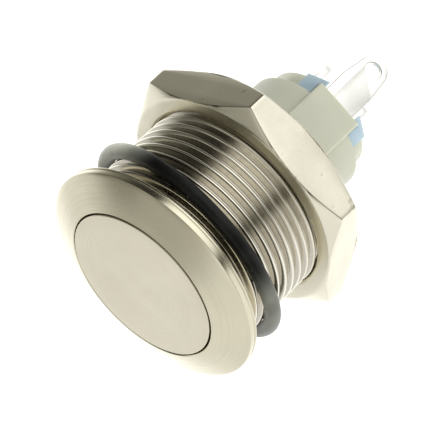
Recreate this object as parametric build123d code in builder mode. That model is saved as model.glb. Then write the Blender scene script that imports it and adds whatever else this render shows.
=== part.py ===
from build123d import *
import os
from math import cos, radians, sin, sqrt, tan

# Flush metal push button with a threaded barrel, a hex nut, a rubber panel ring and solder tags.
# The origin is the centre of the head's seating face, where it meets the panel. +Z points out of the
# panel towards the finger, and the barrel, the base and the tags run back along -Z. All sizes are mm.
# A value called depth is measured back from the seating face.

os.makedirs("parts", exist_ok=True)

# Head of the housing
head_overhang = 1.65
head_height = 2.5
head_rim_height = 1.0
head_rear_chamfer = 0.3
head_edge_break = 0.08
turned_line_height = 0.45
turned_line_depth = 0.07

# Threaded barrel, drawn at the crests of its thread
thread_radius = 9.5
thread_chamfer = 0.4
neck_undercut = 0.65
neck_length = 0.9
barrel_wall = 1.3
bore_shoulder_width = 0.4
rolled_lip_length = 0.5

# Rubber ring, which sits askew on the barrel
ring_section_radius = 0.74
ring_centre_depth = 3.9
ring_tilt = 10.5

# Hex nut
nut_wall = 1.5
nut_thickness = 4.0
nut_front_depth = 9.95
nut_chamfer_angle = 31.0
nut_countersink = 0.2
nut_turn = -4.5
nut_thread_clearance = 0.05

# Button and its stem
button_gap = 0.2
button_edge = 0.12
button_roof = 1.2
button_skirt_wall = 1.1
button_skirt_depth = 2.4
button_travel_length = 1.5
skirt_floor_gap = 0.4
stem_radius = 2.0
stem_inset = 0.7
stem_clearance = 0.05
stop_gap = 0.02

# Seals, drawn pressed to the shape of their grooves
seal_width = 0.8
seal_depth = 0.6
seal_corner = 0.2
seal_gap = 0.02
button_seal_depth = 0.9
rear_seal_inset = 1.4

# Retaining clip of the stem
clip_thickness = 0.4
clip_radius = 3.2
clip_groove_depth = 0.45
clip_mouth = 2.4
clip_notch_radius = 0.55
clip_notch_angle = 120.0

# Guide bush, pressed into the bore
bush_rear_depth = 10.6
bush_web = 2.0
bush_wall = 2.0
bush_boss_wall = 1.25
bush_boss_height = 1.6
clip_room_length = 2.2
clip_room_gap = 0.6

# Return spring, guided by the boss of the bush
return_wire = 0.6
return_guide_gap = 0.3
return_turns = 5.5

# Moulded base: round, with a raised flat panel on the -Y side that ends in a tongue
base_radius = 6.0
base_wall = 0.95
base_plug_length = 3.9
base_corner = 0.25
base_panel_width = 5.0
base_panel_rise = 0.05
base_clearance = 0.05
base_collar_clearance = 0.1
base_collar_length = 0.4
base_collar_ledge = 1.2
base_tongue_length = 1.2
base_tongue_wall = 0.9

# Terminal plate and the guard at the two sides of the common tag
plate_plug_length = 1.7
plate_step = 0.8
plate_clearance = 0.05
guard_margin = 0.35
guard_front_inset = 0.1
guard_length = 1.9
guard_cover = 0.2
guard_notch_gap = 0.2

# Solder tags, stamped from one strip; their lengths are measured behind the base
tag_thickness = 0.6
tag_clearance = 0.03
tag_length = 8.1
tag_bend_radius = 0.4
eye_inset = 1.5
common_tag_width = 3.5
common_tag_tip_width = 2.9
common_tag_straight_length = 4.4
common_tag_top = 0.95
common_eye_radius = 0.8
side_tag_width = 2.2
side_tag_x = 2.5
side_tag_inset = 2.05
side_tag_jog = 0.5
side_eye_radius = 0.6

# Contact blade, whose rolled tail turns in a slot of the common tag
blade_thickness = 0.3
blade_room = 2.55
blade_width = 2.6
blade_tip_width = 1.9
blade_taper_y = 0.9
blade_taper_length = 1.0
blade_tail_width = 1.2
blade_tail_radius = 0.25
blade_tail_clearance = 0.03
blade_tail_side_gap = 0.05
blade_shoulder_gap = 0.15

# Insulating plunger in the end of the stem
plunger_radius = 1.4
plunger_tip_radius = 1.0
plunger_shank_radius = 0.9
plunger_shank_length = 1.8
plunger_nose_length = 0.57
plunger_gap = 0.03

# Contact rivets and the arms that carry them
rivet_head_radius = 0.7
rivet_head_height = 0.35
rivet_head_edge = 0.1
rivet_shank_radius = 0.35
rivet_gap = 0.02
arm_width = 1.7
arm_margin = 0.2

# Spring under the blade, on a post of the terminal plate
contact_room = 5.25
blade_wire = 0.3
blade_coil_radius = 1.0
blade_spring_turns = 6.5
post_radius = 0.65
post_height = 1.2

# Radii worked out from the thread outwards and inwards
head_radius = thread_radius + head_overhang
neck_radius = thread_radius - neck_undercut
nut_across_flats = 2 * (thread_radius + nut_wall)
bore_radius = thread_radius - barrel_wall
button_hole_radius = bore_radius - bore_shoulder_width
base_collar_radius = base_radius + base_collar_ledge
rolled_lip_radius = base_collar_radius + base_collar_clearance
button_radius = button_hole_radius - button_gap
skirt_inner_radius = button_radius - button_skirt_wall
base_front_radius = bore_radius - base_clearance
clip_groove_radius = stem_radius - clip_groove_depth
bush_hole_radius = stem_radius + stem_clearance
bush_boss_radius = bush_hole_radius + bush_boss_wall
bush_spring_room_radius = bore_radius - bush_wall
clip_room_radius = clip_radius + clip_room_gap
return_coil_radius = bush_boss_radius + return_guide_gap + return_wire / 2

# Depths worked out from the bush backwards
bore_shoulder_depth = button_skirt_depth + button_travel_length + skirt_floor_gap
bush_web_depth = bush_rear_depth - clip_room_length
bush_floor_z = bush_web - bush_web_depth
barrel_length = bush_rear_depth + base_plug_length + rolled_lip_length
lip_z = rolled_lip_length - barrel_length
rear_seal_z = -bush_rear_depth - rear_seal_inset
roof_z = head_height - button_roof
stem_depth = bush_rear_depth - stem_inset
clip_z = -bush_web_depth - stop_gap
blade_depth = bush_rear_depth + blade_room
hinge_z = -blade_depth
blade_top_z = hinge_z + blade_thickness / 2
blade_under_z = hinge_z - blade_thickness / 2
plate_front_z = hinge_z - contact_room
base_depth = plate_plug_length - plate_front_z
base_collar_rear_depth = barrel_length + base_collar_length
base_tongue_depth = base_depth + base_tongue_length
guard_depth = base_depth + guard_length
tag_tip_z = -base_depth - tag_length

# Places of the tags, the blade and the guard in the chamber
octagon_turn = 180 / 8
chamber_across_flats = 2 * (base_radius - base_wall)
panel_y = -base_radius - base_panel_rise
tongue_inner_y = panel_y + base_tongue_wall
plate_radius = base_radius - plate_step
guard_across_flats = 2 * (base_radius - guard_margin)
guard_front_y = panel_y + guard_front_inset
guard_notch = common_tag_width + 2 * guard_notch_gap
common_outer_y = plate_clearance - chamber_across_flats / 2
common_inner_y = common_outer_y + tag_thickness
guard_inner_y = common_inner_y + guard_cover
side_tag_y = chamber_across_flats / 2 - side_tag_inset
hinge_y = (common_outer_y + common_inner_y) / 2
press_angle = button_travel_length / -hinge_y
contact_stack = 2 * rivet_head_height + rivet_gap
closed_arm_z = blade_top_z + contact_stack
arm_end = rivet_head_radius + arm_margin


def octagon(across_flats, mode=Mode.ADD):
    """An octagon with its flats square to X and Y."""
    return RegularPolygon(across_flats / 2, 8, major_radius=False, rotation=octagon_turn, mode=mode)


def coil_spring(bottom_z, top_z, coil_radius, wire, turns):
    """A compression spring with its ends ground flat on its two seats."""
    with BuildPart() as made:
        with BuildLine() as path:
            Helix((top_z - bottom_z) / turns, top_z - bottom_z, coil_radius, center=(0, 0, bottom_z))
        with BuildSketch(path.line ^ 0):
            Circle(wire / 2)
        sweep(is_frenet=True)
        split(bisect_by=Plane.XY.offset(bottom_z), keep=Keep.TOP)
        split(bisect_by=Plane.XY.offset(top_z), keep=Keep.BOTTOM)
    return made


def rivet(face_plane, shank_length):
    """A contact rivet: its face lies on the plane, and its shank and second head are behind it."""
    with BuildPart() as made:
        with BuildSketch(face_plane):
            Circle(rivet_head_radius)
        extrude(amount=-rivet_head_height)
        with BuildSketch(face_plane.offset(-rivet_head_height)):
            Circle(rivet_shank_radius)
        extrude(amount=-shank_length)
        with BuildSketch(face_plane.offset(-rivet_head_height - shank_length)):
            Circle(rivet_head_radius)
        extrude(amount=-rivet_head_height)
        ends = made.faces().filter_by(lambda f: abs(f.normal_at().dot(face_plane.z_dir)) > 0.99)
        ends = ends.sort_by(Axis(face_plane.origin, face_plane.z_dir))
        chamfer(ends[0].edges() + ends[-1].edges(), rivet_head_edge)
    return made


def side_strip(x, top_points):
    """The upright strip of a side tag, with its rounded end and eye, up to the given points of its top."""
    with BuildPart() as made:
        with BuildSketch(Plane.YZ.offset(x - tag_thickness / 2)):
            with BuildLine():
                Polyline(
                    (side_tag_y - side_tag_width / 2, tag_tip_z + side_tag_width / 2),
                    *top_points,
                    (side_tag_y + side_tag_width / 2, tag_tip_z + side_tag_width / 2),
                    close=True,
                )
            make_face()
            with Locations((side_tag_y, tag_tip_z + side_tag_width / 2)):
                Circle(side_tag_width / 2)
            with Locations((side_tag_y, tag_tip_z + eye_inset)):
                Circle(side_eye_radius, mode=Mode.SUBTRACT)
        extrude(amount=tag_thickness)
    return made


# Housing: one turned piece with the head, the neck, the barrel and the lip rolled over the base
with BuildPart() as housing:
    with BuildSketch(Plane.XZ):
        with BuildLine():
            Polyline(
                (button_hole_radius + head_edge_break, head_height),
                (head_radius, head_rim_height),
                (head_radius, turned_line_height + turned_line_depth),
                (head_radius - turned_line_depth, turned_line_height),
                (head_radius, turned_line_height - turned_line_depth),
                (head_radius, head_rear_chamfer),
                (head_radius - head_rear_chamfer, 0),
                (neck_radius, 0),
                (neck_radius, -neck_length),
                (thread_radius, -neck_length - (thread_radius - neck_radius)),
                (thread_radius, -barrel_length + thread_chamfer),
                (thread_radius - thread_chamfer, -barrel_length),
                (rolled_lip_radius, -barrel_length),
                (rolled_lip_radius, lip_z),
                (bore_radius, lip_z),
                (bore_radius, -bore_shoulder_depth),
                (button_hole_radius, -bore_shoulder_depth),
                (button_hole_radius, head_height - head_edge_break),
                close=True,
            )
        make_face()
    revolve(axis=Axis.Z)
housing.part.label = "housing"
export_step(housing.part, "parts/housing.step")

# Panel ring: a round rubber cord stretched over the crests, leaning forward on the -Y side
ring_radius = thread_radius + ring_section_radius
ring_lean = radians(ring_tilt)
ring_normal = (0, sin(ring_lean), cos(ring_lean))
ring_plane = Plane(origin=(0, 0, -ring_centre_depth), x_dir=(1, 0, 0), z_dir=ring_normal)
with BuildPart() as panel_ring:
    with BuildLine(ring_plane) as ring_path:
        EllipticalCenterArc((0, 0), ring_radius, ring_radius / cos(ring_lean), arc_size=360)
    with BuildSketch(ring_path.line ^ 0):
        Circle(ring_section_radius)
    sweep()
panel_ring.part.label = "panel_ring"
export_step(panel_ring.part, "parts/panel_ring.step")

# Hex nut: the corners are chamfered on both faces and the threaded hole is countersunk
nut_rear_z = -nut_front_depth - nut_thickness
nut_bore_radius = thread_radius + nut_thread_clearance
nut_reach = nut_across_flats / sqrt(3)
nut_drop = (nut_reach - nut_across_flats / 2) * tan(radians(nut_chamfer_angle))
with BuildPart() as hex_nut:
    with BuildSketch(Plane.XY.offset(nut_rear_z)):
        RegularPolygon(nut_across_flats / 2, 6, major_radius=False, rotation=nut_turn)
    extrude(amount=nut_thickness)
    with BuildSketch(Plane.XZ):
        with BuildLine():
            Polyline(
                (0, -nut_front_depth),
                (nut_across_flats / 2, -nut_front_depth),
                (nut_reach, -nut_front_depth - nut_drop),
                (nut_reach, nut_rear_z + nut_drop),
                (nut_across_flats / 2, nut_rear_z),
                (0, nut_rear_z),
                close=True,
            )
        make_face()
    revolve(axis=Axis.Z, mode=Mode.INTERSECT)
    with Locations((0, 0, -nut_front_depth)):
        Hole(nut_bore_radius, depth=nut_thickness)
    mouths = hex_nut.edges().filter_by(GeomType.CIRCLE).group_by(SortBy.RADIUS)[0]
    chamfer(mouths, nut_countersink)
hex_nut.part.label = "hex_nut"
export_step(hex_nut.part, "parts/hex_nut.step")

# Button: a turned cup with its stem, a groove for the seal, a groove for the clip and a socket
with BuildPart() as button:
    with BuildSketch(Plane.XZ):
        with BuildLine():
            Polyline(
                (0, head_height),
                (button_radius - button_edge, head_height),
                (button_radius, head_height - button_edge),
                (button_radius, -button_seal_depth + seal_width / 2),
                (button_radius - seal_depth, -button_seal_depth + seal_width / 2),
                (button_radius - seal_depth, -button_seal_depth - seal_width / 2),
                (button_radius, -button_seal_depth - seal_width / 2),
                (button_radius, -button_skirt_depth),
                (skirt_inner_radius, -button_skirt_depth),
                (skirt_inner_radius, roof_z),
                (stem_radius, roof_z),
                (stem_radius, clip_z),
                (clip_groove_radius, clip_z),
                (clip_groove_radius, clip_z - clip_thickness),
                (stem_radius, clip_z - clip_thickness),
                (stem_radius, -stem_depth),
                (plunger_shank_radius, -stem_depth),
                (plunger_shank_radius, -stem_depth + plunger_shank_length),
                (0, -stem_depth + plunger_shank_length),
                close=True,
            )
        make_face()
    revolve(axis=Axis.Z)
button.part.label = "button"
export_step(button.part, "parts/button.step")

# Seal in the groove of the button's skirt
button_seal_width = seal_depth + button_gap - seal_gap
with BuildPart() as button_seal:
    with BuildSketch(Plane.XZ):
        with Locations((button_radius - seal_depth + button_seal_width / 2, -button_seal_depth)):
            RectangleRounded(button_seal_width, seal_width, seal_corner)
    revolve(axis=Axis.Z)
button_seal.part.label = "button_seal"
export_step(button_seal.part, "parts/button_seal.step")

# Insulating plunger: a shank in the stem's socket and a round nose over the blade
nose_centre_z = blade_top_z + plunger_gap + plunger_tip_radius
with BuildPart() as plunger:
    with BuildSketch(Plane.XZ):
        with BuildLine():
            Polyline(
                (0, nose_centre_z - plunger_tip_radius),
                (0, -stem_depth + plunger_shank_length),
                (plunger_shank_radius, -stem_depth + plunger_shank_length),
                (plunger_shank_radius, -stem_depth),
                (plunger_radius, -stem_depth),
                (plunger_radius, nose_centre_z + plunger_nose_length),
                (plunger_tip_radius, nose_centre_z),
            )
            CenterArc((0, nose_centre_z), plunger_tip_radius, -90, 90)
        make_face()
    revolve(axis=Axis.Z)
plunger.part.label = "plunger"
export_step(plunger.part, "parts/plunger.step")

# Stem clip: a spring clip with an open mouth, which stops the button at its rest height
with BuildPart() as stem_clip:
    with BuildSketch(Plane.XY.offset(clip_z)):
        Circle(clip_radius)
        Circle(clip_groove_radius, mode=Mode.SUBTRACT)
        with Locations((clip_radius / 2, 0)):
            Rectangle(clip_radius, clip_mouth, mode=Mode.SUBTRACT)
        for side in (-1, 1):
            with PolarLocations(clip_groove_radius, 1, start_angle=side * clip_notch_angle):
                Circle(clip_notch_radius, mode=Mode.SUBTRACT)
    extrude(amount=-clip_thickness)
stem_clip.part.label = "stem_clip"
export_step(stem_clip.part, "parts/stem_clip.step")

# Guide bush: it guides the stem, seats the return spring and leaves room for the clip
with BuildPart() as guide_bush:
    with BuildSketch(Plane.XZ):
        with BuildLine():
            Polyline(
                (bore_radius, -bore_shoulder_depth),
                (bore_radius, -bush_rear_depth),
                (clip_room_radius, -bush_rear_depth),
                (clip_room_radius, -bush_web_depth),
                (bush_hole_radius, -bush_web_depth),
                (bush_hole_radius, bush_floor_z + bush_boss_height),
                (bush_boss_radius, bush_floor_z + bush_boss_height),
                (bush_boss_radius, bush_floor_z),
                (bush_spring_room_radius, bush_floor_z),
                (bush_spring_room_radius, -bore_shoulder_depth),
                close=True,
            )
        make_face()
    revolve(axis=Axis.Z)
guide_bush.part.label = "guide_bush"
export_step(guide_bush.part, "parts/guide_bush.step")

# Return spring between the bush and the roof of the button
return_spring = coil_spring(bush_floor_z, roof_z, return_coil_radius, return_wire, return_turns)
return_spring.part.label = "return_spring"
export_step(return_spring.part, "parts/return_spring.step")

# Base: the moulded body of the switch, with an octagonal chamber open to the rear
with BuildPart() as base:
    with BuildSketch(Plane.XY.offset(-bush_rear_depth)):
        Circle(base_front_radius)
    extrude(amount=bush_rear_depth + lip_z)
    with BuildSketch(Plane.XY.offset(lip_z)):
        Circle(base_collar_radius)
    extrude(amount=-(base_collar_rear_depth + lip_z))
    with BuildSketch(Plane.XY.offset(lip_z)):
        Circle(base_radius)
    extrude(amount=-(base_depth + lip_z))
    with BuildSketch(Plane.XY.offset(lip_z)) as panel:
        with Locations((0, panel_y)):
            Rectangle(base_panel_width, base_tongue_wall, align=(Align.CENTER, Align.MIN))
        fillet(panel.vertices().group_by(Axis.Y)[0], base_corner)
    extrude(amount=-(base_tongue_depth + lip_z))
    with BuildSketch(Plane.XY.offset(-base_depth)):
        octagon(chamber_across_flats)
    extrude(amount=base_depth - bush_rear_depth, mode=Mode.SUBTRACT)
    with BuildSketch(Plane.XZ):
        with Locations((base_front_radius, rear_seal_z)):
            Rectangle(2 * seal_depth, seal_width)
    revolve(axis=Axis.Z, mode=Mode.SUBTRACT)
base.part.label = "base"
export_step(base.part, "parts/base.step")

# Seal between the base and the bore
rear_seal_width = seal_depth + base_clearance - seal_gap
with BuildPart() as rear_seal:
    with BuildSketch(Plane.XZ):
        with Locations((base_front_radius - seal_depth + rear_seal_width / 2, rear_seal_z)):
            RectangleRounded(rear_seal_width, seal_width, seal_corner)
    revolve(axis=Axis.Z)
rear_seal.part.label = "rear_seal"
export_step(rear_seal.part, "parts/rear_seal.step")

# Terminal plate: it plugs the chamber, holds the tags and guards the common tag with a wall
common_slot_y = common_inner_y + tag_clearance
common_slot_width = common_tag_width + 2 * tag_clearance
with BuildPart() as terminal_plate:
    with BuildSketch(Plane.XY.offset(-base_depth)):
        octagon(chamber_across_flats - 2 * plate_clearance)
    extrude(amount=plate_plug_length)
    with BuildSketch(Plane.XY.offset(-base_depth)):
        Rectangle(guard_across_flats, guard_across_flats, rotation=45)
        with Locations((0, guard_front_y)):
            Rectangle(
                2 * guard_across_flats,
                guard_inner_y - guard_front_y,
                align=(Align.CENTER, Align.MIN),
                mode=Mode.INTERSECT,
            )
        Rectangle(guard_notch, 2 * guard_across_flats, mode=Mode.SUBTRACT)
        Circle(plate_radius)
    extrude(amount=-guard_length)
    with BuildSketch(Plane.XY.offset(-base_depth)):
        with Locations((0, tongue_inner_y + plate_clearance)):
            Rectangle(
                base_panel_width + 2 * plate_clearance,
                base_radius,
                align=(Align.CENTER, Align.MAX),
            )
    extrude(amount=-(base_tongue_length + plate_clearance), mode=Mode.SUBTRACT)
    with BuildSketch(Plane.XY.offset(-guard_depth)):
        with Locations((0, common_slot_y)):
            Rectangle(common_slot_width, base_radius, align=(Align.CENTER, Align.MAX))
        with Locations((-side_tag_x, side_tag_y), (side_tag_x, side_tag_y)):
            Rectangle(tag_thickness + 2 * tag_clearance, side_tag_width + 2 * tag_clearance)
    extrude(amount=guard_depth + plate_front_z, mode=Mode.SUBTRACT)
    with BuildSketch(Plane.XY.offset(plate_front_z)):
        Circle(post_radius)
    extrude(amount=post_height)
terminal_plate.part.label = "terminal_plate"
export_step(terminal_plate.part, "parts/terminal_plate.step")

# Common tag: a flat strip with a rounded eye at the rear and the slot that hooks the blade
common_end_z = tag_tip_z + common_tag_tip_width / 2
taper_z = -base_depth - common_tag_straight_length
slot_width = blade_tail_width + 2 * blade_tail_side_gap
slot_height = 2 * (blade_tail_radius + blade_tail_clearance)
with BuildPart() as common_tag:
    with BuildSketch(Plane.XZ.offset(-common_outer_y)):
        with BuildLine():
            Polyline(
                (-common_tag_width / 2, hinge_z + common_tag_top),
                (common_tag_width / 2, hinge_z + common_tag_top),
                (common_tag_width / 2, taper_z),
                (common_tag_tip_width / 2, common_end_z),
                (-common_tag_tip_width / 2, common_end_z),
                (-common_tag_width / 2, taper_z),
                close=True,
            )
        make_face()
        with Locations((0, common_end_z)):
            Circle(common_tag_tip_width / 2)
        with Locations((0, tag_tip_z + eye_inset)):
            Circle(common_eye_radius, mode=Mode.SUBTRACT)
        with Locations((0, hinge_z)):
            Rectangle(slot_width, slot_height, mode=Mode.SUBTRACT)
    extrude(amount=-tag_thickness)
common_tag.part.label = "common_tag"
export_step(common_tag.part, "parts/common_tag.step")

# Closed tag: its arm bends over the blade and carries the contact that is made at rest
closed_top_z = closed_arm_z + tag_thickness
arm_length = side_tag_x + tag_thickness / 2 + arm_end
closed_strip = side_strip(
    side_tag_x,
    [(side_tag_y - side_tag_width / 2, closed_top_z), (side_tag_y + side_tag_width / 2, closed_top_z)],
)
with BuildPart() as closed_tag:
    add(closed_strip.part)
    with BuildSketch(Plane.XY.offset(closed_arm_z)):
        with Locations((side_tag_x + tag_thickness / 2, side_tag_y)):
            Rectangle(arm_length, arm_width, align=(Align.MAX, Align.CENTER))
    extrude(amount=tag_thickness)
    with Locations((0, side_tag_y, closed_top_z)):
        Hole(rivet_shank_radius, depth=tag_thickness)
    fillet(closed_tag.edges().filter_by(Axis.Y).group_by(Axis.Z)[-1].sort_by(Axis.X)[-1], tag_bend_radius)
closed_tag.part.label = "closed_tag"
export_step(closed_tag.part, "parts/closed_tag.step")

# Open tag: its arm lies under the blade and leans as the blade does when the button is down
blade_run = Vector(0, cos(press_angle), -sin(press_angle))
blade_up = Vector(0, sin(press_angle), cos(press_angle))
contact_reach = side_tag_y - hinge_y
open_stack = blade_thickness / 2 + contact_stack
open_centre = Vector(0, hinge_y, hinge_z) + blade_run * contact_reach - blade_up * open_stack
open_plane = Plane(origin=open_centre, x_dir=(1, 0, 0), z_dir=blade_up)
open_low = open_centre - blade_run * (arm_width / 2)
open_high = open_centre + blade_run * (arm_width / 2)
jog_z = plate_front_z + side_tag_jog
open_strip = side_strip(
    -side_tag_x,
    [
        (side_tag_y - side_tag_width / 2, jog_z),
        (open_low.Y, open_low.Z),
        (open_high.Y, open_high.Z),
        (side_tag_y + side_tag_width / 2, jog_z),
    ],
)
with BuildPart() as open_tag:
    add(open_strip.part)
    with BuildSketch(open_plane):
        with Locations((-side_tag_x - tag_thickness / 2, 0)):
            Rectangle(arm_length, arm_width, align=(Align.MIN, Align.CENTER))
    extrude(amount=-tag_thickness)
    with BuildSketch(open_plane):
        Circle(rivet_shank_radius)
    extrude(amount=-tag_thickness, mode=Mode.SUBTRACT)
open_tag.part.label = "open_tag"
export_step(open_tag.part, "parts/open_tag.step")

# Fixed contacts, riveted into the two arms
closed_face_z = closed_arm_z - rivet_head_height
closed_face = Plane(origin=(0, side_tag_y, closed_face_z), x_dir=(1, 0, 0), z_dir=(0, 0, -1))
closed_contact = rivet(closed_face, tag_thickness)
closed_contact.part.label = "closed_contact"
export_step(closed_contact.part, "parts/closed_contact.step")

open_contact = rivet(open_plane.offset(rivet_head_height), tag_thickness)
open_contact.part.label = "open_contact"
export_step(open_contact.part, "parts/open_contact.step")

# Contact blade: a stamped strip whose rolled tail turns in the slot of the common tag
blade_shoulder_y = common_inner_y + blade_shoulder_gap
with BuildPart() as blade:
    with BuildSketch(Plane.XY.offset(hinge_z - blade_thickness / 2)):
        with BuildLine():
            Polyline(
                (blade_tail_width / 2, hinge_y),
                (blade_tail_width / 2, blade_shoulder_y),
                (blade_width / 2, blade_shoulder_y),
                (blade_width / 2, blade_taper_y),
                (blade_tip_width / 2, blade_taper_y + blade_taper_length),
                (blade_tip_width / 2, side_tag_y),
                (-blade_tip_width / 2, side_tag_y),
                (-blade_tip_width / 2, blade_taper_y + blade_taper_length),
                (-blade_width / 2, blade_taper_y),
                (-blade_width / 2, blade_shoulder_y),
                (-blade_tail_width / 2, blade_shoulder_y),
                (-blade_tail_width / 2, hinge_y),
                close=True,
            )
        make_face()
        with Locations((0, side_tag_y)):
            Circle(blade_tip_width / 2)
            Circle(rivet_shank_radius, mode=Mode.SUBTRACT)
    extrude(amount=blade_thickness)
    with BuildSketch(Plane.YZ):
        with Locations((hinge_y, hinge_z)):
            Circle(blade_tail_radius)
    extrude(amount=blade_tail_width / 2, both=True)
blade.part.label = "blade"
export_step(blade.part, "parts/blade.step")

# Moving contact, riveted through the tip of the blade with a face on both sides
blade_face = Plane(origin=(0, side_tag_y, blade_top_z + rivet_head_height))
blade_contact = rivet(blade_face, blade_thickness)
blade_contact.part.label = "blade_contact"
export_step(blade_contact.part, "parts/blade_contact.step")

# Spring that lifts the blade against the closed contact
blade_spring = coil_spring(plate_front_z, blade_under_z, blade_coil_radius, blade_wire, blade_spring_turns)
blade_spring.part.label = "blade_spring"
export_step(blade_spring.part, "parts/blade_spring.step")
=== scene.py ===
from math import atan2, cos, hypot, pi, radians, sin, tan

import bmesh
import bpy
from mathutils import Matrix, Vector


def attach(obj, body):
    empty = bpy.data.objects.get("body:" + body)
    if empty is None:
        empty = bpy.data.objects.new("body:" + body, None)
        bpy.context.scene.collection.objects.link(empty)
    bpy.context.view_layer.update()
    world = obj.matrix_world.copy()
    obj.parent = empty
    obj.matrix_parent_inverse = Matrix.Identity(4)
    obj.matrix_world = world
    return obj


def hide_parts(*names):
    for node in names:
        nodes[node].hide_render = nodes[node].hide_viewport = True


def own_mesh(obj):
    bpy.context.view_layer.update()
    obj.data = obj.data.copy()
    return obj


# Flush metal push button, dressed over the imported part. Shapes are drawn in mm and become metres in
# make(). Materials, floor, studio and camera are in metres.

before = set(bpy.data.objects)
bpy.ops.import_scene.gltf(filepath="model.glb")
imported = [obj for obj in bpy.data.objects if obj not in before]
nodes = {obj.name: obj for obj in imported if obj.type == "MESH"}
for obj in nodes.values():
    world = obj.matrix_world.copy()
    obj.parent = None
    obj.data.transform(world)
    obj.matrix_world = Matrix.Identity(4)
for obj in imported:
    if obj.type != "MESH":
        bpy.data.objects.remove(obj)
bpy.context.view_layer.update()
MM, UM = 0.001, 0.000001
TURN = 2 * pi
STEPS = 192
AXIS_R, OFF_AXIS = 0.001, 1e-5
SAME_POINT, NO_LENGTH, NO_HEIGHT = 2e-7, 1e-7, 1e-9
FLAT_ANGLE, BREAK_ANGLE, SMOOTH_ANGLE = radians(0.5), radians(28), radians(35)

# A rounding takes up at most this share of an edge
REACH_SHARE = 0.45

# Head and barrel, as in the part's source
HEAD_R, HEAD_H, RIM_H = 11.15, 2.5, 1.0
HOLE_R, BORE_R, THREAD_R, NECK_R = 7.8, 8.2, 9.5, 8.85
NECK_L, BARREL_L, SHOULDER = 0.9, 15.0, 4.3
LIP_R, LIP_L = 7.3, 0.5
THREAD_CHAMFER = 0.4

# Fine form of the head and barrel. The hole's edge lies a little below the button's face, which gives
# the dark line round the button; the bevel bulges, the rim has a turned line, and edges are broken.
HOLE_EDGE_DROP, HOLE_BREAK = 0.06, 0.08
BEVEL_BULGE = 0.06
BEVEL_PLACES = (0.12, 0.25, 0.38, 0.5, 0.62, 0.75, 0.88)
LINE_Z, LINE_HALF, LINE_FLOOR_HALF, LINE_DEPTH = 0.45, 0.08, 0.03, 0.075
REAR_BREAK, REAR_BREAK_H = 0.25, 0.2
NECK_FILLET = 0.1
LIP_ROLL, LIP_ROLL_H = 0.35, 0.2

# Thread: a crest passes CREST_Z at the angle CREST_TURN, and places along it are shares of the pitch
PITCH, THREAD_DEPTH = 1.0, 0.545
CREST_Z, CREST_TURN = -3.7, radians(-79.5)
CREST_HALF, CREST_EDGE = 0.09, 0.05
FLANK_SLOPE, ROOT_BLEND, END_BLEND = tan(radians(60)), 0.12, 0.07
SPARE_TURNS, LEAD_TURNS = 3, 1
HALF_PLACES = [0.045, 0.066, 0.082, 0.105, 0.15, 0.21, 0.27, 0.32, 0.355, 0.385, 0.415, 0.45]
PLACES = [-0.5] + [-u for u in reversed(HALF_PLACES)] + [0.0] + HALF_PLACES

# Button: its face, the seal's groove in its skirt, and the stem with the clip's groove and a bored end
BUTTON_R, BUTTON_EDGE, FACE_PLACES = 7.66, 0.06, (AXIS_R, 1.5, 3.0, 4.5, 6.0)
SEAL_TOP, SEAL_REAR, SEAL_GROOVE = -0.5, -1.3, 0.6
SKIRT_REAR, SKIRT_BORE_R, ROOF_Z = -2.4, 6.5, 1.3
STEM_R, STEM_REAR, STEM_BORE_R, STEM_BORE_TOP = 2.0, -9.9, 0.9, -8.1
CLIP_GROOVE_R, CLIP_TOP, CLIP_REAR = 1.55, -8.42, -8.82

# Hex nut: its points crowd towards the corners, and the chamfer starts softly over NUT_EASE
HALF_FLAT, NUT_FRONT, NUT_REAR, NUT_TURN = 11.0, -9.95, -13.95, radians(25.5)
NUT_CORNER, NUT_CHAMFER_SLOPE = 0.22, tan(radians(31))
NUT_HOLE_R, NUT_SINK_R, NUT_SINK_DEPTH, NUT_FACE_R = 9.55, 9.78, 0.2, 10.3
NUT_EASE, NUT_CHAMFER_PLACES, NUT_SIDE_PLACES = 0.06, (0.25, 0.5, 0.75), (0.3, 0.5, 0.7)
FLAT_STEPS, CORNER_STEPS, CROWDING = 24, 4, 0.6

# Small steps of its face: the countersink's soft edge, the end of the flat, the first and last row
# of the soft start, the drop of the chamfer, and its broken outer edge as (inset, depth)
SINK_INSET, SINK_SOFT, FLAT_INSET = 0.04, 0.012, 0.12
EASE_INSET, EASE_SOFT = 0.03, 0.006
EASE_REACH, EASE_GAP, EASE_DEPTH, EASE_DEEPEST = 0.08, 0.02, 0.03, 0.05
CHAMFER_DROP, OUTER_BREAK = 0.035, ((0.05, 0.03), (0.016, 0.06), (0.0, 0.12))

# Rubber ring, stretched over the crests; its section swells in two waves and in five, as shares
RING_R, RING_DEPTH, RING_TILT, RING_SAG = 0.74, 3.9, radians(10.5), 0.09
RING_STRETCH, RING_TWO_WAVES, RING_WAVES_TURN, RING_FIVE_WAVES = 0.98, 0.012, 0.6, 0.006
RING_STEPS, RING_SIDES, NEAR = 240, 28, 0.01
RING_COURSE_R = THREAD_R + RING_R


# Mesh helpers


def place(obj):
    bpy.context.scene.collection.objects.link(obj)
    return obj


def make(name, verts, faces, sharp=30.0):
    """A mesh object from points in mm, with doubled points joined and edges over the angle kept hard."""
    mesh = bpy.data.meshes.new(name)
    mesh.from_pydata([(x * MM, y * MM, z * MM) for x, y, z in verts], [], faces)
    work = bmesh.new()
    work.from_mesh(mesh)
    bmesh.ops.remove_doubles(work, verts=work.verts, dist=SAME_POINT)
    bmesh.ops.dissolve_degenerate(work, edges=work.edges, dist=NO_LENGTH)
    bmesh.ops.recalc_face_normals(work, faces=work.faces)
    work.to_mesh(mesh)
    work.free()
    mesh.shade_smooth()
    mesh.set_sharp_from_angle(angle=radians(sharp))
    return place(bpy.data.objects.new(name, mesh))


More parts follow.
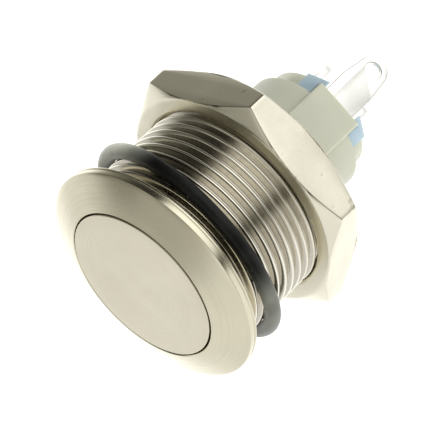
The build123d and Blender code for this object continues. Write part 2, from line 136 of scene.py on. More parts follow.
def grid(rows, closed_rows=False):
    """Quads over rows of points; each row runs once round the axis."""
    count = len(rows[0])
    faces = []
    for j in range(len(rows) if closed_rows else len(rows) - 1):
        k = (j + 1) % len(rows)
        for i in range(count):
            a = (i + 1) % count
            faces.append((j * count + i, j * count + a, k * count + a, k * count + i))
    return [p for row in rows for p in row], faces


def turned(profile):
    """Rows of points for a profile of (radius, z) turned about Z."""
    angles = [TURN * i / STEPS for i in range(STEPS)]
    return [[(r * cos(a), r * sin(a), z) for a in angles] for r, z in profile]


def rounded(corners, parts=4):
    """A profile of (radius, z) from corners of (radius, z, rounding), with each rounded one curved."""
    out = []
    points = [(r, z) for r, z, rounding in corners]
    for i, (r, z, rounding) in enumerate(corners):
        if rounding == 0:
            out.append((r, z))
            continue
        corner = Vector((r, z))
        before, after = Vector(points[i - 1]) - corner, Vector(points[i + 1]) - corner
        half = before.angle(after) / 2
        reach = min(rounding / tan(half), before.length * REACH_SHARE, after.length * REACH_SHARE)
        start, end = corner + before.normalized() * reach, corner + after.normalized() * reach
        for k in range(parts + 1):
            t = k / parts
            out.append(tuple(start.lerp(corner, t).lerp(corner.lerp(end, t), t)))
    return out


def joined(*lots):
    """One set of points and faces from several."""
    verts, faces = [], []
    for more_verts, more_faces in lots:
        first = len(verts)
        verts += more_verts
        faces += [tuple(i + first for i in face) for face in more_faces]
    return verts, faces


def worn_copy(node, name, width, segments):
    """A copy of a CAD node with its hard edges softly broken, as moulding and stamping leave them."""
    mesh = nodes[node].data.copy()
    mesh.materials.clear()
    work = bmesh.new()
    work.from_mesh(mesh)
    bmesh.ops.remove_doubles(work, verts=work.verts, dist=SAME_POINT)
    bmesh.ops.dissolve_limit(
        work, angle_limit=FLAT_ANGLE, use_dissolve_boundaries=False, verts=work.verts, edges=work.edges
    )
    work.to_mesh(mesh)
    work.free()
    obj = place(bpy.data.objects.new(name, mesh))
    bevel = obj.modifiers.new("edge", "BEVEL")
    bevel.width = width * MM
    bevel.segments = segments
    bevel.limit_method = "ANGLE"
    bevel.angle_limit = BREAK_ANGLE
    done = bpy.data.meshes.new_from_object(obj.evaluated_get(bpy.context.evaluated_depsgraph_get()))
    obj.modifiers.clear()
    obj.data = done
    done.name = name
    done.shade_smooth()
    done.set_sharp_from_angle(angle=SMOOTH_ANGLE)
    return obj


# Thread


def soft_min(a, b, blend=END_BLEND):
    """The smaller of two radii, with the corner between them rounded."""
    near = max(blend - abs(a - b), 0.0) / blend
    return min(a, b) - near * near * blend / 4


def thread_depth(u):
    """Depth below the crests: narrow crests with soft edges, straight flanks, round roots."""
    u = (u + 0.5) % 1.0 - 0.5
    past = abs(u) - CREST_HALF
    flank = FLANK_SLOPE * (past + hypot(past, CREST_EDGE)) / 2
    return soft_min(flank, THREAD_DEPTH, ROOT_BLEND)


def crest_height(angle):
    return CREST_Z + PITCH * (angle - CREST_TURN) / TURN


def barrel_radius(angle, z):
    """Radius of the thread, cut off by the slopes at the neck and at the rear end."""
    crest = THREAD_R - thread_depth((z - crest_height(angle)) / PITCH)
    start = NECK_R + max(0.0, -NECK_L - z)
    end = THREAD_R - THREAD_CHAMFER + max(0.0, z + BARREL_L)
    return soft_min(soft_min(crest, start), end)


def threaded(top, bottom):
    """Points and quads that follow the helix, cut square at the two ends."""
    count = len(PLACES)
    turns = int((top - bottom) / PITCH) + SPARE_TURNS
    lead = PITCH * round((top - CREST_Z) / PITCH + LEAD_TURNS)
    angles = [TURN * i / STEPS for i in range(STEPS + 1)]
    heights = []
    for k in range(turns * count + 1):
        whole, part = divmod(k, count)
        fall = PITCH * (whole + PLACES[part])
        heights.append([min(top, max(bottom, crest_height(angle) - fall + lead)) for angle in angles])
    verts = []
    for row in heights:
        for angle, z in zip(angles, row):
            r = barrel_radius(angle, z)
            verts.append((r * cos(angle), r * sin(angle), z))
    faces = []
    m = STEPS + 1
    for j in range(len(heights) - 1):
        for i in range(STEPS):
            zs = (heights[j][i], heights[j][i + 1], heights[j + 1][i], heights[j + 1][i + 1])
            if max(zs) - min(zs) > NO_HEIGHT:
                faces.append((j * m + i, j * m + i + 1, (j + 1) * m + i + 1, (j + 1) * m + i))
    return verts, faces


# Housing

edge_z = HEAD_H - HOLE_EDGE_DROP
bevel_in, bevel_out = Vector((HOLE_R + HOLE_BREAK, edge_z)), Vector((HEAD_R, RIM_H))
outward = Vector((bevel_in.y - bevel_out.y, bevel_out.x - bevel_in.x)).normalized()
cone = [
    tuple(bevel_in.lerp(bevel_out, t) + outward * (BEVEL_BULGE * 4 * t * (1 - t))) for t in BEVEL_PLACES
]
head_outline = rounded(
    [
        (HOLE_R, -SHOULDER, 0),
        (HOLE_R, edge_z - HOLE_BREAK, 0.03),
        (HOLE_R + HOLE_BREAK, edge_z, 0),
    ]
)
head_outline += cone[:-1]
head_outline += rounded(
    [
        (*cone[-1], 0),
        (HEAD_R, RIM_H, 0.06),
        (HEAD_R, LINE_Z + LINE_HALF, 0.02),
        (HEAD_R - LINE_DEPTH, LINE_Z + LINE_FLOOR_HALF, 0.01),
        (HEAD_R - LINE_DEPTH, LINE_Z - LINE_FLOOR_HALF, 0.01),
        (HEAD_R, LINE_Z - LINE_HALF, 0.02),
        (HEAD_R, REAR_BREAK_H, 0.06),
        (HEAD_R - REAR_BREAK, 0.0, 0.06),
        (NECK_R + NECK_FILLET, 0.0, 0.05),
        (NECK_R, -NECK_FILLET, 0.05),
        (NECK_R, -NECK_L, 0),
    ],
    parts=3,
)
tail_outline = rounded(
    [
        (THREAD_R - THREAD_CHAMFER, -BARREL_L, 0),
        (LIP_R + LIP_ROLL, -BARREL_L, 0.15),
        (LIP_R, -BARREL_L + LIP_ROLL_H, 0.1),
        (LIP_R, -BARREL_L + LIP_L, 0),
        (BORE_R, -BARREL_L + LIP_L, 0),
        (BORE_R, -SHOULDER, 0),
        (HOLE_R, -SHOULDER, 0),
    ]
)
housing = make(
    "housing_threaded",
    *joined(grid(turned(head_outline)), threaded(-NECK_L, -BARREL_L), grid(turned(tail_outline))),
    sharp=38.0,
)
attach(housing, "switch_body")
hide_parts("housing")

# Button

groove_r = BUTTON_R - SEAL_GROOVE
button_outline = [(r, HEAD_H) for r in FACE_PLACES]
button_outline += rounded(
    [
        (FACE_PLACES[-1], HEAD_H, 0),
        (BUTTON_R - BUTTON_EDGE, HEAD_H, 0.1),
        (BUTTON_R, HEAD_H - BUTTON_EDGE, 0.1),
        (BUTTON_R, SEAL_TOP, 0.05),
        (groove_r, SEAL_TOP, 0),
        (groove_r, SEAL_REAR, 0),
        (BUTTON_R, SEAL_REAR, 0.05),
        (BUTTON_R, SKIRT_REAR, 0.1),
        (SKIRT_BORE_R, SKIRT_REAR, 0.1),
        (SKIRT_BORE_R, ROOF_Z, 0.3),
        (STEM_R, ROOF_Z, 0.3),
        (STEM_R, CLIP_TOP, 0.03),
        (CLIP_GROOVE_R, CLIP_TOP, 0),
        (CLIP_GROOVE_R, CLIP_REAR, 0),
        (STEM_R, CLIP_REAR, 0.03),
        (STEM_R, STEM_REAR, 0.1),
        (STEM_BORE_R, STEM_REAR, 0.05),
        (STEM_BORE_R, STEM_BORE_TOP, 0),
        (AXIS_R, STEM_BORE_TOP, 0),
    ],
    parts=3,
)[1:]
button = make("button_turned", *grid(turned(button_outline)), sharp=38.0)
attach(button, "button_body")
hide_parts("button")

# Hex nut


def hexagon():
    """Points round the nut, closer together towards its rounded corners."""
    along, cut = HALF_FLAT * tan(pi / 6), NUT_CORNER * tan(pi / 6)
    centre = (HALF_FLAT - NUT_CORNER) / cos(pi / 6)
    points = []
    for side in range(6):
        middle = NUT_TURN + side * pi / 3
        corner = middle + pi / 6
        for k in range(FLAT_STEPS + 1):
            t = -1 + 2 * k / FLAT_STEPS
            t = (along - cut) * ((1 - CROWDING) * t + CROWDING * sin(t * pi / 2))
            points.append(
                (HALF_FLAT * cos(middle) - t * sin(middle), HALF_FLAT * sin(middle) + t * cos(middle))
            )
        for k in range(1, CORNER_STEPS):
            a = corner + (k / CORNER_STEPS - 0.5) * pi / 3
            points.append(
                (centre * cos(corner) + NUT_CORNER * cos(a), centre * sin(corner) + NUT_CORNER * sin(a))
            )
    return points


def face_profile(r):
    """(radius, depth below the face) from the thread out to a point of the hexagon at radius r.

    The rows run over the countersink, the flat face, the soft start of the chamfer, the chamfer and
    its broken outer edge.
    """
    drop = max(0.0, (r - HALF_FLAT) * NUT_CHAMFER_SLOPE)
    inner = [
        (NUT_HOLE_R, NUT_SINK_DEPTH),
        (NUT_SINK_R - SINK_INSET, SINK_SOFT),
        (NUT_SINK_R, 0.0),
        (NUT_FACE_R, 0.0),
        (HALF_FLAT - FLAT_INSET, 0.0),
        (min(r, HALF_FLAT - EASE_INSET), EASE_SOFT),
        (min(r - EASE_GAP, HALF_FLAT + EASE_REACH), min(EASE_DEEPEST, EASE_DEPTH + drop)),
    ]
    chamfer = [
        (HALF_FLAT + (r - HALF_FLAT) * t + NUT_EASE * (1 - t), drop * t + CHAMFER_DROP)
        for t in NUT_CHAMFER_PLACES
    ]
    return inner + chamfer + [(r - inset, drop + depth) for inset, depth in OUTER_BREAK]


nut_columns = []
for x, y in hexagon():
    r, a = hypot(x, y), atan2(y, x)
    face = face_profile(r)
    column = [(radius, NUT_FRONT - depth) for radius, depth in face]
    column += [(r, NUT_FRONT + (NUT_REAR - NUT_FRONT) * t) for t in NUT_SIDE_PLACES]
    column += [(radius, NUT_REAR + depth) for radius, depth in reversed(face)]
    nut_columns.append([(radius * cos(a), radius * sin(a), z) for radius, z in column])
nut = make("nut_chamfered", *grid(list(zip(*nut_columns)), closed_rows=True), sharp=40.0)
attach(nut, "nut_body")
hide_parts("hex_nut")

# Panel ring: a round cord stretched over the crests, a little uneven


def ring_course(t):
    """Centre of the ring's section: a tilted circle that sags a little at its two sides."""
    fall = RING_COURSE_R * sin(t) * tan(RING_TILT)
    sag = RING_SAG * cos(t) ** 2
    return Vector((cos(t), sin(t), 0)) * RING_COURSE_R + Vector((0, 0, -RING_DEPTH - fall - sag))


ring_rows = []
for i in range(RING_STEPS):
    t = TURN * i / RING_STEPS
    waves = RING_TWO_WAVES * sin(2 * t + RING_WAVES_TURN), RING_FIVE_WAVES * sin(5 * t)
    size = RING_R * (RING_STRETCH + waves[0] + waves[1])
    centre = ring_course(t)
    ahead = (ring_course(t + NEAR) - ring_course(t - NEAR)).normalized()
    above = Vector((cos(t), sin(t), 0)).cross(ahead).normalized()
    beside = ahead.cross(above).normalized()
    turns = [TURN * k / RING_SIDES for k in range(RING_SIDES)]
    ring_rows.append([tuple(centre + (beside * cos(a) + above * sin(a)) * size) for a in turns])
ring = make("ring_moulded", *grid(ring_rows, closed_rows=True))
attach(ring, "switch_body")
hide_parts("panel_ring")

# Moulded and stamped pieces with their edges broken

base = worn_copy("base", "base_moulded", width=0.1, segments=3)
plate = worn_copy("terminal_plate", "plate_moulded", width=0.06, segments=2)
common, closed, opened = (
    worn_copy(tag, tag + "_stamped", width=0.09, segments=3)
    for tag in ("common_tag", "closed_tag", "open_tag")
)
for piece, node, slot in (
    (base, "base", "grey_moulding"),
    (plate, "terminal_plate", "blue_moulding"),
    (common, "common_tag", "tinned_brass"),
    (closed, "closed_tag", "tinned_brass"),
    (opened, "open_tag", "tinned_brass"),
):
    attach(piece, "switch_body")
    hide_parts(node)

# Springs, carried with the button

springs = []
for node, name in (("return_spring", "return_spring_wound"), ("blade_spring", "blade_spring_wound")):
    spring = place(bpy.data.objects.new(name, nodes[node].data.copy()))
    heights = [v.co.z for v in spring.data.vertices]
    low, high = min(heights), max(heights)
    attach(spring, "button_body")
    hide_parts(node)
    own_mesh(spring)
    springs.append(spring)

# Materials

# Sockets of Blender's Mix node: the share, then A and B as numbers and as colours
MIX_SHARE, NUMBER_A, NUMBER_B, COLOUR_A, COLOUR_B, COLOUR_OUT = 0, 2, 3, 6, 7, 2


class Graph:
    """Adds and links the nodes of a material or of the world."""

    def __init__(self, tree):
        self.tree = tree

    def feed(self, socket, value):
        """Links another node's output to the socket, or gives the socket a plain value."""
        if hasattr(value, "links"):
            self.tree.links.new(value, socket)
        else:
            socket.default_value = value

    def add(self, kind, **values):
        node = self.tree.nodes.new(kind)
        for key, value in values.items():
            if key in node.inputs:
                self.feed(node.inputs[key], value)
            else:
                setattr(node, key, value)
        return node

    def math(self, kind, *values):
        node = self.add("ShaderNodeMath", operation=kind)
        for socket, value in zip(node.inputs, values):
            self.feed(socket, value)
        return node.outputs[0]

    def xyz(self, vector):
        return self.add("ShaderNodeSeparateXYZ", Vector=vector).outputs

    def span(self, value, low, high, to_low=0.0, to_high=1.0, interpolation="LINEAR"):
        """Maps one range to another, held at its two ends."""
        node = self.add("ShaderNodeMapRange", interpolation_type=interpolation, Value=value)
        ends = (("From Min", low), ("From Max", high), ("To Min", to_low), ("To Max", to_high))
        for key, number in ends:
            node.inputs[key].default_value = number
        return node.outputs["Result"]


class Finish(Graph):
    """A material's graph, with the noises, tones and bumps that a finish is made of."""

    def __init__(self, name):
        self.material = bpy.data.materials.new(name)
        self.material.use_nodes = True
        super().__init__(self.material.node_tree)
        self.place = self.add("ShaderNodeTexCoord").outputs["Object"]

    def position(self):
        """X, Y, Z and the distance from the axis."""
        x, y, z = self.xyz(self.place)
        square = self.math("ADD", self.math("MULTIPLY", x, x), self.math("MULTIPLY", y, y))
        return x, y, z, self.math("SQRT", square)

    def noise(self, scale, detail=3.0, rough=0.5, vector=None):
        """Soft noise; a scale of three numbers stretches it along the axes."""
        source = vector or self.place
        if isinstance(scale, tuple):
            source = self.add("ShaderNodeMapping", Scale=scale, Vector=source).outputs["Vector"]
            scale = 1.0
        noise = self.add("ShaderNodeTexNoise", Scale=scale, Detail=detail, Roughness=rough, Vector=source)
        return noise.outputs["Fac"]

    def mix(self, share, a, b):
        node = self.add("ShaderNodeMix", data_type="RGBA")
        self.feed(node.inputs[MIX_SHARE], share)
        for index, colour in ((COLOUR_A, a), (COLOUR_B, b)):
            self.feed(node.inputs[index], colour if hasattr(colour, "links") else (*colour, 1))
        return node.outputs[COLOUR_OUT]

    def bump(self, height, distance, strength=1.0, below=None):
        node = self.add("ShaderNodeBump", Strength=strength, Distance=distance, Height=height)
        if below is not None:
            self.feed(node.inputs["Normal"], below)
        return node.outputs["Normal"]

    def worn_edge(self, low, high, amount):
        """The amount on convex edges, 0 elsewhere."""
        pointiness = self.add("ShaderNodeNewGeometry").outputs["Pointiness"]
        return self.span(pointiness, low, high, 0.0, amount)

    def done(self, inputs):
        for key, value in inputs.items():
            self.feed(self.tree.nodes["Principled BSDF"].inputs[key], value)
        return self.material


def tint(colour, factor):
    return [min(1.0, c * factor) for c in colour]


STEEL, BUTTON_STEEL, STEEL_DARK = (0.80, 0.752, 0.575), (0.80, 0.752, 0.595), (0.56, 0.52, 0.41)
# Thread colours: the flanks painted darker as shade in the grooves, the crests painted light as a highlight
FLANK_PAINTED_SHADE, CREST_PAINTED_HIGHLIGHT = (0.65, 0.612, 0.52), (0.97, 0.93, 0.79)
# Pale grey of the painted sheen on the ring's ends, and the grey of specks of lint
RUBBER_PAINTED_SHEEN, RUBBER_LINT = (0.59, 0.60, 0.505), (0.30, 0.30, 0.28)
STEP_GREY = (0.52, 0.525, 0.42)

# Where one finish, painted shade or painted light gives way to the next, in metres: heights, radii and, for
# the painted sheen on the ring's ends, places along X
THREAD_FINISH_AND_PAINTED_LIGHT = (-0.0008, -0.0010)
CREST_HIGHLIGHT_RADII = (0.00936, 0.00946)
RIM_FINISH = (0.01102, 0.01108)
NUT_FACE_FINISH = (0.0107, 0.0111)
# The painted sheen on the ring's ends: the middle along X, the distances from it where the sheen starts and
# is full, and the span of X over which it grows stronger towards +X
SHEEN_MIDDLE, SHEEN_ENDS, SHEEN_REACH = 0.0012, (0.0062, 0.0093), (-0.009, 0.009)
STEP_FINISH_R = 0.00523
STEP_FINISH_REAR = min(v.co.z for v in nodes["terminal_plate"].data.vertices) + 40 * UM


def turned_steel(name, colour, rough, lines, aniso, grain, ring_tone, thread_gloss=1.0):
    """Metal turned on a lathe: fine rings round the axis, a soft grain and small scratches, with painted
    shade on the thread's flanks and a painted highlight on its crests.
    """
    n = Finish(name)
    x, y, z, r = n.position()
    safe = n.math("ADD", r, OFF_AXIS)
    # The noise runs fast across the rings and slowly round them
    along = n.add(
        "ShaderNodeCombineXYZ",
        X=n.math("MULTIPLY", n.math("ADD", r, n.math("MULTIPLY", z, 1.31)), 1000.0),
        Y=n.math("MULTIPLY", n.math("DIVIDE", x, safe), 0.9),
        Z=n.math("MULTIPLY", n.math("DIVIDE", y, safe), 0.9),
    ).outputs[0]
    rings = n.noise((lines, 0.35, 0.35), 4.0, 0.65, along)
    broad = n.noise((lines * 0.12, 0.5, 0.5), 2.0, 0.5, along)
    cloud = n.noise(220.0)
    fine = n.noise(5200.0, 2.0)
    scratch = n.noise((900.0, 90.0, 420.0), 2.0, 0.4)
    chatter = n.noise((2600.0, 2600.0, 160.0), 2.0, 0.6)

    face = n.mix(n.span(cloud, 0.35, 0.65), colour, tint(colour, 0.955))
    face = n.mix(n.span(rings, 0.3, 0.75, 0.0, ring_tone), face, STEEL_DARK)
    # On the thread, painted light: flanks darker as shade in the grooves, crests light as a highlight by
    # radius
    thread = n.mix(n.span(chatter, 0.35, 0.65), FLANK_PAINTED_SHADE, tint(FLANK_PAINTED_SHADE, 0.93))
    thread = n.mix(n.span(r, *CREST_HIGHLIGHT_RADII), thread, CREST_PAINTED_HIGHLIGHT)

    level = n.span(rings, 0.2, 0.8, rough - 0.05, rough + 0.06)
    for spread in (cloud, fine):
        level = n.math("ADD", level, n.span(spread, 0.3, 0.7, -0.02, 0.03))
    smoother = n.span(z, *THREAD_FINISH_AND_PAINTED_LIGHT, 1.0, thread_gloss)
    polish = n.math("MULTIPLY", smoother, n.span(r, *RIM_FINISH, 1.0, 0.65))

    height = n.math("MULTIPLY", n.math("ADD", rings, n.math("MULTIPLY", broad, 0.6)), smoother)
    bumped = n.bump(height, 14 * UM * ring_tone)
    bumped = n.bump(fine, grain, 1.0, bumped)
    bumped = n.bump(n.span(scratch, 0.62, 0.7, 0.0, -1.0), 1.5 * UM, 0.6, bumped)
    return n.done(
        {
            "Base Color": n.mix(n.span(z, *THREAD_FINISH_AND_PAINTED_LIGHT), face, thread),
            "Roughness": n.math("MULTIPLY", level, polish),
            "Normal": bumped,
            "Metallic": 1.0,
            "Anisotropic": aniso,
            "Tangent": n.add("ShaderNodeTangent", direction_type="RADIAL", axis="Z").outputs[0],
        }
    )


def milled_steel(name, colour, dark, rough):
    """Plated nut: satin flats with faint lines, pits and rubbed edges, and a duller face."""
    n = Finish(name)
    r = n.position()[3]
    cloud = n.noise(260.0)
    fine = n.noise(4200.0, 2.0)
    lines = n.noise((700.0, 700.0, 7000.0), 3.0, 0.6)
    pits = n.noise(900.0, 1.0)
    tone = n.mix(n.span(cloud, 0.35, 0.65), colour, tint(colour, 0.95))
    tone = n.mix(n.span(pits, 0.72, 0.8, 0.0, 0.5), tone, dark)
    tone = n.mix(n.worn_edge(0.52, 0.6, 0.5), tone, tint(colour, 1.08))
    level = n.math(
        "ADD", n.span(cloud, 0.3, 0.7, rough - 0.03, rough + 0.04), n.span(fine, 0.3, 0.7, -0.02, 0.03)
    )
    bumped = n.bump(lines, 2 * UM, 0.8)
    bumped = n.bump(fine, 1.2 * UM, 1.0, bumped)
    bumped = n.bump(n.span(pits, 0.7, 0.8, 0.0, -1.0), 8 * UM, 0.6, bumped)
    return n.done(
        {
            "Base Color": tone,
            "Roughness": n.math("ADD", level, n.span(r, *NUT_FACE_FINISH, 0.2, 0.0)),
            "Normal": bumped,
            "Metallic": 1.0,
        }
    )


def rubber(name, colour, rough, ior, bloom_and_painted_sheen):
    """Moulded black rubber: a silky skin, a painted sheen of light at its two ends, fine pores and specks of
    lint.
    """
    n = Finish(name)
    x = n.position()[0]
    film = n.noise(420.0, 4.0)
    pores = n.noise(6500.0, 2.0)
    specks = n.noise(5200.0, 1.0)
    # Painted sheen: a pale grey laid over the ring's two ends, where light falls on them, stronger towards +X
    # and broken up a little by the film noise
    painted_sheen = n.span(n.math("ABSOLUTE", n.math("SUBTRACT", x, SHEEN_MIDDLE)), *SHEEN_ENDS)
    painted_sheen = n.math("POWER", painted_sheen, 2.2)
    painted_sheen = n.math("MULTIPLY", painted_sheen, n.span(film, 0.3, 0.6, 0.75, 1.0))
    painted_sheen = n.math("MULTIPLY", painted_sheen, n.span(x, *SHEEN_REACH, 0.34, 1.4))
    tone = n.mix(n.span(film, 0.4, 0.7, 0.0, 0.5), colour, [c * 1.8 + 0.006 for c in colour])
    tone = n.mix(n.math("MULTIPLY", painted_sheen, bloom_and_painted_sheen), tone, RUBBER_PAINTED_SHEEN)
    tone = n.mix(n.span(specks, 0.77, 0.8, 0.0, 0.8), tone, RUBBER_LINT)
    return n.done(
        {
            "Base Color": tone,
            "Roughness": n.span(film, 0.3, 0.7, rough, rough + 0.12),
            "Normal": n.bump(film, 20 * UM, 0.5, n.bump(pores, 4 * UM, 0.7)),
            "IOR": ior,
        }
    )


def moulding(name, colour, shade, rough, glow, grey_step=False):
    """Moulded plastic: a waxy body, flow marks, a fine spark-eroded skin and rubbed edges."""
    n = Finish(name)
    flow = n.noise((120.0, 120.0, 320.0))
    skin = n.noise(7000.0, 2.0)
    tone = n.mix(n.span(flow, 0.35, 0.65), colour, shade)
    tone = n.mix(n.worn_edge(0.52, 0.62, 0.35), tone, tint(colour, 1.25))
    if grey_step:
        z, r = n.position()[2:]
        inside = n.math("LESS_THAN", r, STEP_FINISH_R)
        above = n.math("GREATER_THAN", z, STEP_FINISH_REAR)
        tone = n.mix(n.math("MULTIPLY", inside, above), tone, STEP_GREY)
    return n.done(
        {
            "Base Color": tone,
            "Roughness": n.span(flow, 0.3, 0.7, rough - 0.04, rough + 0.06),
            "Normal": n.bump(flow, 30 * UM, 0.4, n.bump(skin, 4 * UM, 0.6)),
            "Subsurface Weight": glow,
            "Subsurface Radius": (1.0, 0.9, 0.7),
            "Subsurface Scale": 0.0012,
        }
    )


def plated(name, colour, dark, rough, lines, wear=None, stain=0.8):
    """Stamped strip or drawn wire: draw marks, a soft bloom and bright or bare edges."""
    n = Finish(name)
    bloom_and_painted_sheen = n.noise(480.0, 4.0)
    marks = n.noise(lines, 3.0, 0.6)
    fine = n.noise(5200.0, 2.0)
    tone = n.mix(n.span(bloom_and_painted_sheen, 0.35, 0.7, 0.0, stain), colour, tint(colour, 0.9))
    tone = n.mix(n.span(marks, 0.4, 0.8, 0.0, 0.44 * stain), tone, dark)
    return n.done(
        {
            "Base Color": n.mix(n.worn_edge(0.53, 0.62, 0.4), tone, wear or colour),
            "Roughness": n.span(bloom_and_painted_sheen, 0.3, 0.7, rough - 0.06, rough + 0.1),
            "Normal": n.bump(fine, 1 * UM, 1.0, n.bump(marks, 3 * UM, 0.8)),
            "Metallic": 1.0,
        }
    )


head_metal = turned_steel(
    "turned_head", STEEL, rough=0.21, lines=9.0, aniso=0.45, grain=0.8 * UM, ring_tone=0.25, thread_gloss=0.75
)
button_metal = turned_steel(
    "turned_button", BUTTON_STEEL, rough=0.29, lines=5.0, aniso=0.2, grain=1.6 * UM, ring_tone=0.03
)
nut_metal = milled_steel("milled_nut", (0.90, 0.86, 0.70), (0.5, 0.46, 0.38), rough=0.2)
# The last number is the strength of the painted sheen on the ends of each rubber part
black = rubber("black_rubber", (0.005, 0.005, 0.0045), rough=0.3, ior=1.28, bloom_and_painted_sheen=0.8)
seal_black = rubber("seal_rubber", (0.02, 0.02, 0.019), rough=0.4, ior=1.5, bloom_and_painted_sheen=0.1)
grey = moulding("grey_moulding", (0.53, 0.535, 0.43), (0.49, 0.50, 0.40), rough=0.42, glow=0.25)
blue = moulding(
    "blue_moulding", (0.38, 0.49, 0.555), (0.34, 0.45, 0.52), rough=0.3, glow=0.3, grey_step=True
)
nylon = moulding("white_nylon", (0.72, 0.70, 0.63), (0.66, 0.64, 0.57), rough=0.38, glow=0.3)
plunger_tan = moulding("plunger_nylon", (0.62, 0.56, 0.44), (0.56, 0.50, 0.39), rough=0.36, glow=0.2)
tin = plated(
    "tinned_strip",
    (1.0, 0.99, 0.93),
    (0.86, 0.84, 0.77),
    rough=0.19,
    lines=(500.0, 500.0, 2600.0),
    wear=(0.98, 0.965, 0.89),
    stain=0.15,
)
bronze = plated(
    "blade_bronze", (0.78, 0.52, 0.29), (0.5, 0.31, 0.16), rough=0.24, lines=(2400.0, 300.0, 300.0)
)
silver = plated(
    "contact_silver", (0.90, 0.88, 0.84), (0.6, 0.58, 0.55), rough=0.2, lines=(900.0, 900.0, 900.0)
)
wire = plated(
    "spring_wire", (0.62, 0.60, 0.56), (0.36, 0.34, 0.31), rough=0.25, lines=(300.0, 300.0, 5200.0)
)
clip_metal = plated(
    "clip_steel", (0.55, 0.54, 0.52), (0.3, 0.29, 0.28), rough=0.28, lines=(1800.0, 300.0, 300.0)
)

for material, pieces, node_names in (
    (head_metal, [housing], ["housing"]),
    (button_metal, [button], ["button"]),
    (nut_metal, [nut], ["hex_nut"]),
    (black, [ring], ["panel_ring"]),
    (grey, [base], ["base"]),
    (blue, [plate], ["terminal_plate"]),
    (tin, [common, closed, opened], ["common_tag", "closed_tag", "open_tag"]),
    (wire, springs, ["return_spring", "blade_spring"]),
    (seal_black, [], ["button_seal", "rear_seal"]),
    (nylon, [], ["guide_bush"]),
    (plunger_tan, [], ["plunger"]),
    (clip_metal, [], ["stem_clip"]),
    (bronze, [], ["blade"]),
    (silver, [], ["blade_contact", "closed_contact", "open_contact"]),
):
    for piece in pieces + [nodes[name] for name in node_names]:
        piece.data.materials.clear()
        piece.data.materials.append(material)

# Floor

FLOOR_REACH, FLOOR_Z = 3.0, -0.0286
floor_mesh = bpy.data.meshes.new("floor")
corners = [(-1, -1), (1, -1), (1, 1), (-1, 1)]
floor_mesh.from_pydata([(x * FLOOR_REACH, y * FLOOR_REACH, FLOOR_Z) for x, y in corners], [], [(0, 1, 2, 3)])
floor = place(bpy.data.objects.new("floor", floor_mesh))
n = Finish("pale_floor")
paper = n.mix(n.span(n.noise(60.0), 0.3, 0.7), (0.62, 0.62, 0.615), (0.6, 0.6, 0.595))
floor_mesh.materials.append(
    n.done(
        {
            "Base Color": paper,
            "Emission Color": (1.0, 1.0, 1.0, 1),
            "Emission Strength": 0.85,
            "Roughness": 0.9,
            "Specular IOR Level": 0.1,
        }
    )
)
floor.visible_glossy = False

# Studio: a white tent drawn as a smooth sky. It has a ring of lights and gaps low down, a softer top
# and a dark front, and the metal mirrors all three.

# Brightness of the low ring by bearing, in degrees from +X
LOW_RING = [
    (-180, 1.06), (-158, 1.08), (-146, 1.02), (-134, 0.97), (-128, 0.45), (-121, 0.05), (-115, 0.28),
    (-108, 0.90), (-98, 1.18), (-86, 1.36), (-70, 1.42), (-58, 1.32), (-50, 1.05), (-44, 0.20), (-38, 0.04),
    (-24, 0.035), (-10, 0.06), (4, 0.15), (18, 0.22), (30, 0.42), (40, 0.95), (50, 1.35), (60, 1.45),
    (100, 1.40), (125, 1.25), (145, 1.12), (160, 1.04), (180, 1.06),
]
# Soft patches in the top: the way to the middle, the cosines where each starts and ends, and the
# brightness outside and inside it
TOP_PATCHES = (
    ((0.22, 0.35, 0.91), 0.82, 0.97, 0.9, 0.48),
    ((0.55, 0.40, 0.73), 0.950, 0.987, 1.0, 0.5),
    ((0.68, 0.54, 0.50), 0.965, 0.990, 1.0, 0.3),
)
# The front: where it ends inward, and how it darkens the top, lifts the edge of the ring and dims it
DEPTH_SKEW, FRONT_ENDS = 0.5, (0.05, 0.5)
TOP_FRONT_ENDS, TOP_FRONT_LIGHT = (-0.14, 0.12), 0.6
RISE_ENDS, FRONT_RISE = (-0.15, 0.35), 0.6
DIM_ENDS, FRONT_DIM = (-0.2, 0.28), 0.88
# Light from straight below, and the warm tint of what is dark
BELOW_ENDS, BELOW_LIGHT = (-0.66, -0.9), 0.85
TINT_END, DARK_GREEN, DARK_BLUE = 0.9, 0.97, 0.84
KEY_PLACE, KEY_SIZE, KEY_POWER = (-0.25, -0.35, 0.45), 0.9, 3.9

world = bpy.data.worlds.new("studio")
bpy.context.scene.world = world
world.use_nodes = True
sky = Graph(world.node_tree)


def ease(value, low, high, to_low=0.0, to_high=1.0):
    return sky.span(value, low, high, to_low, to_high, "SMOOTHSTEP")


def blend(share, a, b):
    node = sky.add("ShaderNodeMix", data_type="FLOAT")
    for index, value in ((MIX_SHARE, share), (NUMBER_A, a), (NUMBER_B, b)):
        sky.feed(node.inputs[index], value)
    return node.outputs[0]


generated = sky.add("ShaderNodeTexCoord").outputs["Generated"]
way = sky.add("ShaderNodeVectorMath", operation="NORMALIZE", Vector=generated).outputs[0]
sideways, inward, upward = sky.xyz(way)

bearing = sky.math("DIVIDE", sky.math("ADD", sky.math("ARCTAN2", inward, sideways), pi), TURN)
low_ring = sky.add("ShaderNodeValToRGB", Fac=bearing)
stops = low_ring.color_ramp.elements
while len(stops) < len(LOW_RING):
    stops.new(0.5)
for stop, (degrees, value) in zip(stops, LOW_RING):
    stop.position = (degrees + 180) / 360
    stop.color = (value, value, value, 1)

top = 1.0
for middle, start, end, outside, inside in TOP_PATCHES:
    near = sky.add("ShaderNodeVectorMath", operation="DOT_PRODUCT")
    sky.feed(near.inputs[0], way)
    sky.feed(near.inputs[1], Vector(middle).normalized())
    top = sky.math("MULTIPLY", top, ease(near.outputs["Value"], start, end, outside, inside))

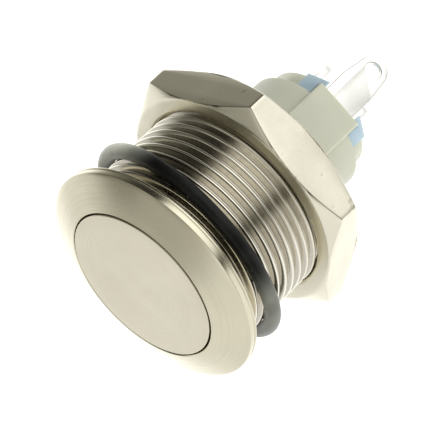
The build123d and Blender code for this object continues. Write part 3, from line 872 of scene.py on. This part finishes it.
depth = sky.math("SUBTRACT", inward, sky.math("MULTIPLY", sideways, DEPTH_SKEW))
front = sky.math("SUBTRACT", 1.0, ease(depth, *FRONT_ENDS))
top = sky.math("MULTIPLY", top, ease(depth, *TOP_FRONT_ENDS, TOP_FRONT_LIGHT, 1.0))
rise = ease(sky.math("SUBTRACT", upward, sky.math("MULTIPLY", front, FRONT_RISE)), *RISE_ENDS)
dimming = sky.math("MULTIPLY", front, ease(upward, *DIM_ENDS, 0.0, FRONT_DIM))
low = sky.math("MULTIPLY", low_ring.outputs["Color"], sky.math("SUBTRACT", 1.0, dimming))
light = blend(rise, blend(ease(upward, *BELOW_ENDS), low, BELOW_LIGHT), top)
colour = sky.add(
    "ShaderNodeCombineXYZ",
    X=light,
    Y=sky.math("MULTIPLY", light, ease(light, 0.0, TINT_END, DARK_GREEN, 1.0)),
    Z=sky.math("MULTIPLY", light, ease(light, 0.0, TINT_END, DARK_BLUE, 1.0)),
)
background = sky.tree.nodes["Background"]
sky.feed(background.inputs["Color"], colour.outputs[0])
sky.feed(background.inputs["Strength"], 1.0)

key_light = bpy.data.lights.new("key", "AREA")
key_light.shape = "DISK"
key_light.size = KEY_SIZE
key_light.energy = KEY_POWER
key = place(bpy.data.objects.new("key", key_light))
key.location = KEY_PLACE
key.rotation_euler = (-Vector(KEY_PLACE)).to_track_quat("-Z", "Y").to_euler()
key.visible_glossy = False

# Camera, solved from the circles of the head and the corners of the nut

CAMERA_PLACE = (0.02217, -0.33804, 0.17756)
CAMERA_RIGHT = (-0.662600, -0.394136, -0.636884)
CAMERA_DOWN = (-0.746687, 0.281176, 0.602828)
CAMERA_FORWARD = (-0.058519, 0.874986, -0.480602)
lens = bpy.data.cameras.new("camera")
lens.sensor_width = 36.0
lens.lens = 354.8
lens.clip_start, lens.clip_end = 0.01, 20.0
camera = place(bpy.data.objects.new("camera", lens))
camera_axes = Matrix((CAMERA_RIGHT, -Vector(CAMERA_DOWN), -Vector(CAMERA_FORWARD))).transposed()
camera.matrix_world = Matrix.Translation(CAMERA_PLACE) @ camera_axes.to_4x4()
bpy.context.scene.camera = camera
bpy.context.scene.view_settings.view_transform = "Standard"
